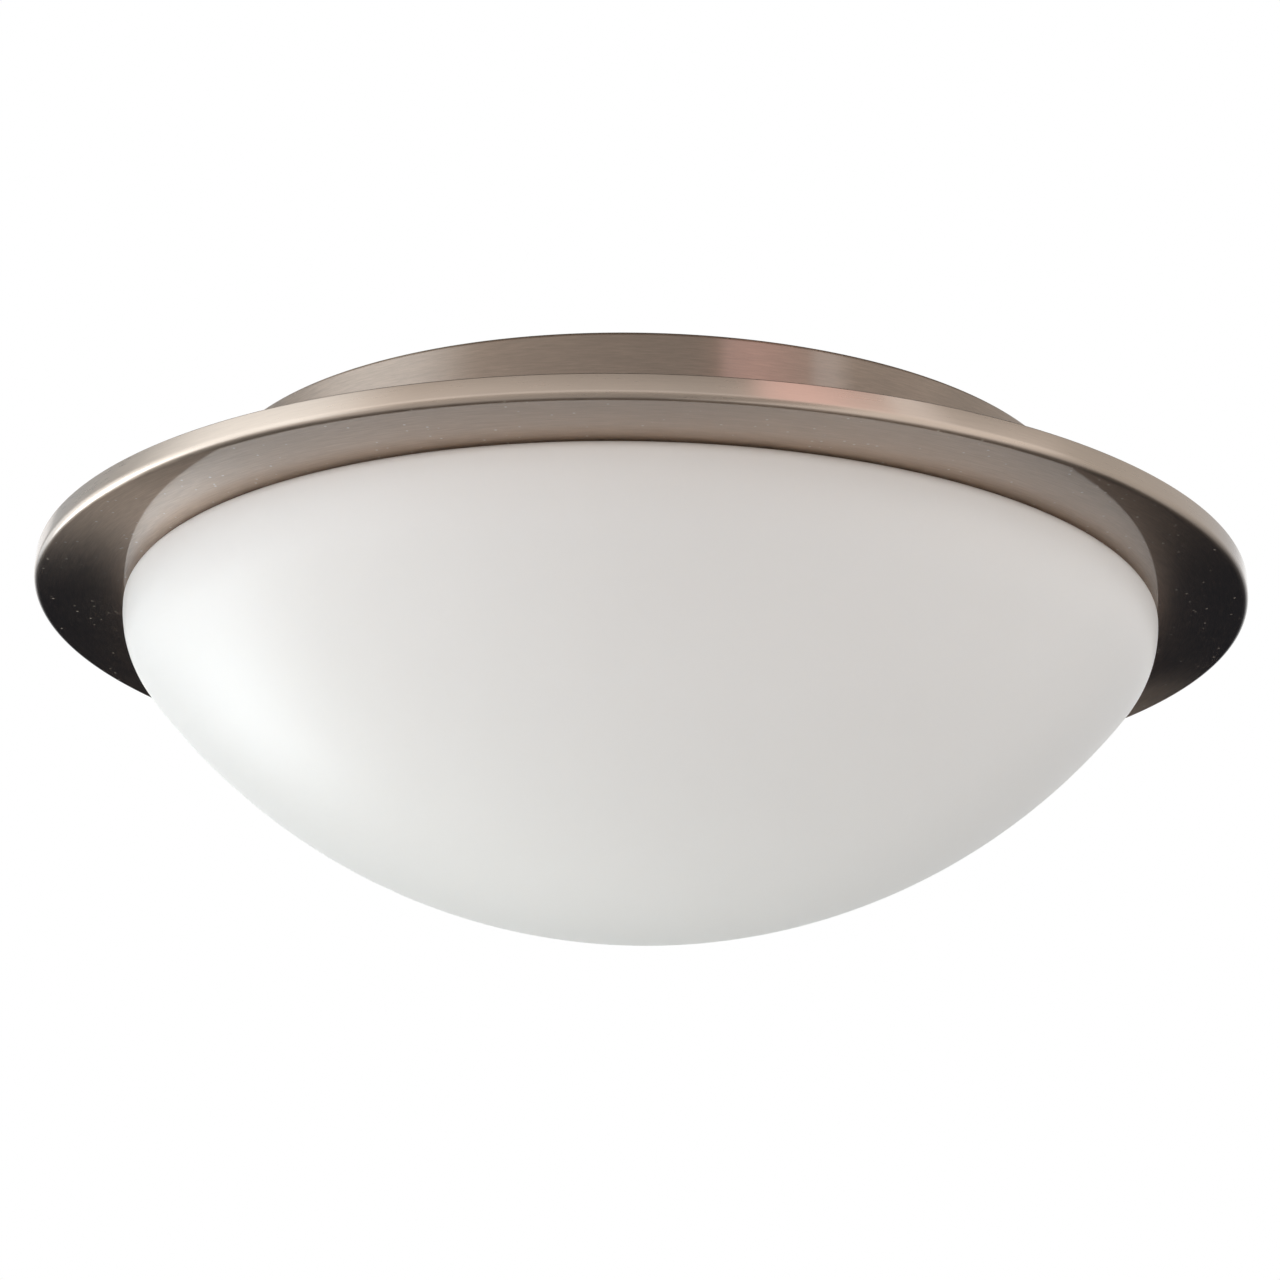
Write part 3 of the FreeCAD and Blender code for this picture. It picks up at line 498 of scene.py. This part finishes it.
def add_world():
    """White background, an even glow that lights, and the studio that the metal mirrors."""
    world = bpy.data.worlds.new("studio")
    world.use_nodes = True
    world.node_tree.nodes.clear()
    tree = Tree(world.node_tree)
    path = tree.add("ShaderNodeLightPath")
    direction = tree.add("ShaderNodeSeparateXYZ",
                         {"Vector": tree.add("ShaderNodeTexCoord").outputs["Generated"]})
    x, y, z = direction.outputs
    level = tree.math("SQRT", tree.math("SUBTRACT", 1.0, tree.times(z, z)))
    across = tree.math("DIVIDE", x, tree.math("MAXIMUM", level, 0.01))
    front = tree.remap(y, 0.35, -0.20, smooth=True)
    # towards the camera: palest just above the horizon, darker below it and overhead
    below = tree.remap(across, 0.45, 0.70, 0.32, 0.85)
    camera_side = tree.times(tree.remap(z, 0.05, 0.65, 0.94, 0.18),
                             tree.remap(z, -0.30, 0.05, below, 1.0, smooth=True))
    slope = tree.math("MULTIPLY_ADD", across, 0.34, -0.28)
    bowed = tree.math("MULTIPLY_ADD", across, slope, 1.0)
    camera_side = tree.times(camera_side, bowed)
    # behind: a dark floor, a dim horizon and a bright backdrop above it
    backdrop = tree.mix(tree.remap(z, -0.16, 0.02, smooth=True), FAR_FLOOR, FAR_HORIZON)
    above = tree.times(tree.remap(z, 0.02, 0.20, smooth=True),
                       tree.remap(across, 0.35, 0.65, 1.0, 0.35, smooth=True))
    backdrop = tree.mix(above, backdrop, FAR_BACKDROP)
    glow = tree.mix(front, backdrop, camera_side)
    # warm panel and a narrow strip on the camera's right
    right_front = tree.times(front, tree.remap(z, -0.15, 0.10))
    panel = tree.times(tree.remap(across, 0.31, 0.37), tree.remap(across, 0.80, 0.48, 0.0, 1.0))
    glow = tree.mix(tree.times(panel, right_front), glow, WARM_PANEL)
    strip = tree.times(tree.remap(across, 0.68, 0.72), tree.remap(across, 0.84, 0.77))
    glow = tree.mix(tree.times(strip, right_front), glow, NARROW_STRIP)
    # large softbox on the left, brighter low at the back, and a weaker one on the right
    low = tree.remap(z, -0.62, -0.50, smooth=True)
    inner = tree.math("MULTIPLY_ADD", front, -0.14, -0.54)
    outer = tree.math("SUBTRACT", inner, tree.math("MULTIPLY_ADD", front, 0.13, 0.12))
    left = tree.times(tree.remap(across, inner, outer, smooth=True), low)
    body = tree.remap(z, 0.38, 0.12, 1.3, tree.math("MULTIPLY_ADD", front, 0.5, 1.1), smooth=True)
    high = tree.math("MULTIPLY_ADD", front, 0.68, 0.32)
    body = tree.times(body, tree.math("MAXIMUM", high, tree.remap(z, 0.2, 0.05)))
    low_back = tree.times(tree.remap(z, -0.24, -0.36, 0.0, 2.4, smooth=True),
                          tree.math("SUBTRACT", 1.0, front))
    box = tree.math("ADD", body, low_back)
    glow = tree.mix(left, glow, tree.mix(1.0, box, LEFT_BOX_TINT, "MULTIPLY"))
    edge = tree.math("MULTIPLY_ADD", front, 0.36, 0.60)
    right = tree.times(tree.remap(across, edge, 1.0, smooth=True), low)
    glow = tree.mix(right, glow, RIGHT_BOX)
    # dark overhead
    glow = tree.mix(tree.remap(z, 0.50, 0.75, smooth=True), glow, OVERHEAD)
    shown = tree.math("MAXIMUM", path.outputs["Is Glossy Ray"], path.outputs["Is Transmission Ray"])
    strength = tree.mix(shown, (AMBIENT, AMBIENT, AMBIENT, 1.0), glow)
    strength = tree.mix(path.outputs["Is Camera Ray"], strength,
                        (BACKDROP, BACKDROP, BACKDROP, 1.0))
    light = tree.add("ShaderNodeBackground", {"Color": strength, "Strength": 1.0})
    out = tree.add("ShaderNodeOutputWorld")
    tree.put(out.inputs["Surface"], light.outputs[0])
    bpy.context.scene.world = world


def add_floor():
    """Pale round floor a room's height below, fading out at its edge."""
    mesh = bpy.data.meshes.new("floor")
    shape = bmesh.new()
    bmesh.ops.create_circle(shape, cap_ends=True, segments=96, radius=FLOOR_RADIUS)
    shape.to_mesh(mesh)
    shape.free()
    floor = bpy.data.objects.new("floor", mesh)
    bpy.context.scene.collection.objects.link(floor)
    floor.location = (0.0, 0.0, FLOOR_LEVEL)
    floor.visible_glossy = False
    material, tree, surface = new_material("pale floor")
    distance = tree.add("ShaderNodeVectorMath", {0: tree.place()}, operation="LENGTH")
    fade = tree.remap(distance.outputs["Value"], *FLOOR_FADE, smooth=True)
    surface.inputs["Base Color"].default_value = FLOOR_TONE
    surface.inputs["Roughness"].default_value = 0.9
    clear = tree.add("ShaderNodeBsdfTransparent")
    blend = tree.add("ShaderNodeMixShader")
    tree.put(blend.inputs[0], fade)
    tree.put(blend.inputs[1], surface.outputs[0])
    tree.put(blend.inputs[2], clear.outputs[0])
    output = next(node for node in tree.nodes if node.type == "OUTPUT_MATERIAL")
    tree.put(output.inputs["Surface"], blend.outputs[0])
    mesh.materials.append(material)


# Turned shapes

def rounded(corners):
    """Closed outline through (radius, height, rounding) corners, each rounding an arc."""
    points = []
    count = len(corners)
    for i, (radius, height, rounding) in enumerate(corners):
        here = Vector((radius, height))
        if rounding <= 0.0:
            points.append(here)
            continue
        back = (Vector(corners[i - 1][:2]) - here).normalized()
        ahead = (Vector(corners[(i + 1) % count][:2]) - here).normalized()
        half = back.angle(ahead) / 2
        centre = here + (back + ahead).normalized() * (rounding / math.sin(half))
        start = here + back * (rounding / math.tan(half)) - centre
        finish = here + ahead * (rounding / math.tan(half)) - centre
        first = math.atan2(start.y, start.x)
        turn = math.remainder(math.atan2(finish.y, finish.x) - first, math.tau)
        for step in range(ARC_STEPS + 1):
            angle = first + turn * step / ARC_STEPS
            points.append(centre + rounding * Vector((math.cos(angle), math.sin(angle))))
    return points


def arc(centre, radius, first, last, steps):
    """Points on an arc, by angle below the horizontal."""
    points = []
    for step in range(steps + 1):
        angle = first + (last - first) * step / steps
        points.append(centre + radius * Vector((math.cos(angle), -math.sin(angle))))
    return points


def finish_piece(shape, name, sharp):
    """A mesh object from a bmesh, smooth apart from its real edges."""
    bmesh.ops.remove_doubles(shape, verts=shape.verts, dist=1e-7)
    loose = [edge for edge in shape.edges if not edge.link_faces]
    bmesh.ops.delete(shape, geom=loose, context="EDGES")
    bmesh.ops.recalc_face_normals(shape, faces=shape.faces)
    mesh = bpy.data.meshes.new(name)
    shape.to_mesh(mesh)
    shape.free()
    mesh.shade_smooth()
    mesh.set_sharp_from_angle(angle=math.radians(sharp))
    piece = bpy.data.objects.new(name, mesh)
    bpy.context.scene.collection.objects.link(piece)
    return piece


def add_turned(shape, points, first=0.0, last=360.0, steps=ROUND_STEPS):
    """Sweep a closed outline about Z, all the way or between two angles with closed ends."""
    whole = last - first >= 360.0
    rings = []
    for step in range(steps if whole else steps + 1):
        angle = math.radians(first + (last - first) * step / steps)
        side, ahead = math.cos(angle), math.sin(angle)
        rings.append([shape.verts.new((p.x * side, p.x * ahead, p.y)) for p in points])
    count = len(points)
    for i in range(steps):
        near, far = rings[i], rings[(i + 1) % len(rings)]
        for k in range(count):
            shape.faces.new((near[k], near[(k + 1) % count], far[(k + 1) % count], far[k]))
    if not whole:
        shape.faces.new(rings[0])
        shape.faces.new(rings[-1])


def moved_inward(path):
    """The pan's outer path again, one sheet thickness inside it."""
    headings = []
    for (r0, z0, _), (r1, z1, _) in zip(path[:-1], path[1:]):
        headings.append(Vector((r1 - r0, z1 - z0)).normalized())
    inner = []
    for i, (radius, height, rounding) in enumerate(path):
        before = headings[max(i - 1, 0)]
        after = headings[min(i, len(headings) - 1)]
        scale = SHEET / (1 + before.dot(after))
        turn = before.x * after.y - before.y * after.x
        if abs(turn) > 1e-6:
            rounding += SHEET * math.copysign(1, turn)
        inner.append((radius + (before.y + after.y) * scale,
                      height - (before.x + after.x) * scale, rounding))
    return inner


def pan_outline():
    brim_run = RIM_RADIUS - CANOPY_RADIUS
    path = [
        (ENTRY_RADIUS, -DIMPLE_DEPTH, 0.0),
        (DIMPLE_RADIUS, -DIMPLE_DEPTH, DIMPLE_BEND),
        (DIMPLE_RADIUS + DIMPLE_DEPTH, 0.0, DIMPLE_BEND + SHEET),
        (CANOPY_RADIUS, 0.0, CANOPY_CORNER),
        (CANOPY_RADIUS, BRIM_LEVEL + SHEET + brim_run * BRIM_RISE, BRIM_CORNER - SHEET),
        (RIM_RADIUS - SHEET, BRIM_LEVEL + SHEET + SHEET * BRIM_RISE, LIP_CORNER - SHEET),
        (RIM_RADIUS - SHEET, BRIM_LEVEL + LIP_HEIGHT, 0.0),
    ]
    inner = moved_inward(path)
    path[-1] = path[-1][:2] + (EDGE,)
    inner[-1] = inner[-1][:2] + (EDGE,)
    inner = [(r, z, max(rounding, LEAST_BEND) if 0 < i < len(inner) - 1 else rounding)
             for i, (r, z, rounding) in enumerate(inner)]
    return path + inner[::-1]


def add_post(shape, x, y, radius, length=0.0):
    """Upright cutter through the pan's back: round, or with a length a slot along Y."""
    half = length / 2 - radius if length else 0.0
    rings = []
    for height in CUT_LEVELS:
        ring = []
        for step in range(CUT_SIDES):
            angle = math.tau * step / CUT_SIDES
            shift = math.copysign(half, math.sin(angle)) if half else 0.0
            ring.append(shape.verts.new((x + radius * math.cos(angle),
                                         y + radius * math.sin(angle) + shift, height)))
        rings.append(ring)
    for k in range(CUT_SIDES):
        after = (k + 1) % CUT_SIDES
        shape.faces.new((rings[0][k], rings[0][after], rings[1][after], rings[1][k]))
    shape.faces.new(rings[0])
    shape.faces.new(rings[1])


def add_pan(material):
    """The pressed pan in one turned mesh, with its holes cut through the back."""
    shape = bmesh.new()
    add_turned(shape, rounded(pan_outline()))
    pan = finish_piece(shape, "pressed_pan", PAN_SHARP)
    holes = bmesh.new()
    for low, high in hole_boxes():
        add_post(holes, (low.x + high.x) / 2, (low.y + high.y) / 2, (high.x - low.x) / 2)
    for side in (1, -1):
        add_post(holes, 0.0, side * SLOT_FROM_AXIS, SLOT_HALF_WIDTH, SLOT_LENGTH)
    cutter = finish_piece(holes, "holes", PAN_SHARP)
    cut = pan.modifiers.new("holes", "BOOLEAN")
    cut.operation = "DIFFERENCE"
    cut.solver = "EXACT"
    cut.object = cutter
    bpy.context.view_layer.update()
    evaluated = pan.evaluated_get(bpy.context.evaluated_depsgraph_get())
    drilled = bpy.data.meshes.new_from_object(evaluated)
    pan.modifiers.clear()
    pan.data = drilled
    bpy.data.objects.remove(cutter)
    pan.data.shade_smooth()
    pan.data.set_sharp_from_angle(angle=math.radians(PAN_SHARP))
    pan.data.materials.clear()
    pan.data.materials.append(material)
    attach(pan, "fixture")
    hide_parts("ceiling_pan")


def islands(node):
    """Lowest and highest corner of each separate solid in a node, in a fixed order."""
    mesh = NODES[node].data
    shape = bmesh.new()
    shape.from_mesh(mesh)
    bmesh.ops.remove_doubles(shape, verts=shape.verts, dist=1e-6)
    left = set(shape.verts)
    boxes = []
    while left:
        stack = [left.pop()]
        seen = []
        while stack:
            vert = stack.pop()
            seen.append(vert.co.copy())
            for edge in vert.link_edges:
                other = edge.other_vert(vert)
                if other in left:
                    left.remove(other)
                    stack.append(other)
        boxes.append((Vector(map(min, zip(*seen))), Vector(map(max, zip(*seen)))))
    shape.free()
    return sorted(boxes, key=lambda box: tuple(box[0]))


def hole_boxes():
    """Where rivets and screws pass through the pan's back."""
    found = []
    for node, radius in (("clip_rivets", RIVET_HOLE), ("bracket_rivets", RIVET_HOLE),
                         ("block_screws", BLOCK_SCREW_HOLE), ("earth_screw", EARTH_SCREW_HOLE)):
        for low, high in islands(node):
            centre = (low + high) / 2
            reach = Vector((radius, radius, 0.0))
            found.append((centre - reach, centre + reach))
    return found


def bowl_outline():
    """Section of the glass: round outside, flat top, neck, and back along the inside."""

    def skin(inset):
        side = BOWL_RADIUS - inset
        shoulder = BOWL_SHOULDER - inset
        level = BOWL_TOP - BOWL_RIM
        bottom = BOWL_BOTTOM + inset
        out = side - shoulder
        drop = level - bottom
        cap = (out ** 2 + drop ** 2 - shoulder ** 2) / (2 * (drop - shoulder))
        meet = math.atan2(bottom + cap - level, out)
        round_side = arc(Vector((out, level)), shoulder, 0.0, meet, SHOULDER_STEPS)
        dome = arc(Vector((0.0, bottom + cap)), cap, meet, math.pi / 2, DOME_STEPS)
        return round_side + dome[1:]

    level = BOWL_TOP - BOWL_RIM
    rim_centre = Vector((BOWL_RADIUS - BOWL_RIM, level))
    rim = arc(rim_centre, BOWL_RIM, -math.pi / 2, 0.0, RIM_STEPS)
    outside = rim[:-1] + skin(0.0)
    inner_side = BOWL_RADIUS - GLASS
    neck = rounded([
        (inner_side, level + NECK_LIFT, 0.0),
        (NECK_RADIUS - GLASS, level + NECK_LIFT, NECK_INNER_BEND),
        (NECK_RADIUS - GLASS, NECK_TOP, NECK_LIP_BEND),
        (NECK_RADIUS, NECK_TOP, 0.0),
        (NECK_RADIUS, BOWL_TOP, NECK_CORNER),
        (BOWL_RADIUS - BOWL_RIM, BOWL_TOP, 0.0),
    ])
    return outside + skin(GLASS)[::-1] + neck[1:-1]


def add_bowl(material):
    """The glass bowl, its notched bead and the lugs that stop its turn."""
    shape = bmesh.new()
    add_turned(shape, bowl_outline())
    bowl = finish_piece(shape, "opal_bowl", BOWL_SHARP)
    bowl.data.materials.append(material)
    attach(bowl, "shade")
    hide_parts("glass_shade")
    shape = bmesh.new()
    half_notch = math.degrees(math.asin(NOTCH_WIDTH / 2 / BEAD_RADIUS))
    section = rounded([
        (NECK_RADIUS - GLASS / 2, NECK_TOP, 0.0),
        (BEAD_RADIUS, NECK_TOP, BEAD_ROUND),
        (BEAD_RADIUS, BEAD_BOTTOM, BEAD_ROUND),
        (NECK_RADIUS - GLASS / 2, BEAD_BOTTOM, 0.0),
    ])
    lug = rounded([
        (NECK_RADIUS - GLASS / 2, BEAD_BOTTOM + LUG_OVERLAP, 0.0),
        (BEAD_RADIUS - BEAD_ROUND, BEAD_BOTTOM + LUG_OVERLAP, 0.0),
        (BEAD_RADIUS - BEAD_ROUND, BEAD_BOTTOM - LUG_DROP, LUG_ROUND),
        (NECK_RADIUS - GLASS / 2, BEAD_BOTTOM - LUG_DROP, 0.0),
    ])
    near = -math.degrees(LUG_START / NECK_RADIUS)
    far = -math.degrees((LUG_START + LUG_LENGTH) / NECK_RADIUS)
    for number in range(CLIP_COUNT):
        clip = number * 360.0 / CLIP_COUNT
        first = clip + NOTCH_TURN + half_notch
        last = first + 360.0 / CLIP_COUNT - 2 * half_notch
        add_turned(shape, section, first, last, BEAD_STEPS)
        add_turned(shape, lug, clip + far, clip + near, LUG_STEPS)
    bead = finish_piece(shape, "bowl_bead", BOWL_SHARP)
    bead.data.materials.append(material)
    bead.parent = bowl


FINISHES = finishes()
dress_nodes(FINISHES)
add_pan(FINISHES["brushed_nickel"])
add_bowl(FINISHES["opal_glass"])
add_camera()
add_world()
for softbox in SOFTBOXES:
    add_softbox(*softbox)
add_floor()
bpy.context.scene.view_settings.view_transform = "Standard"
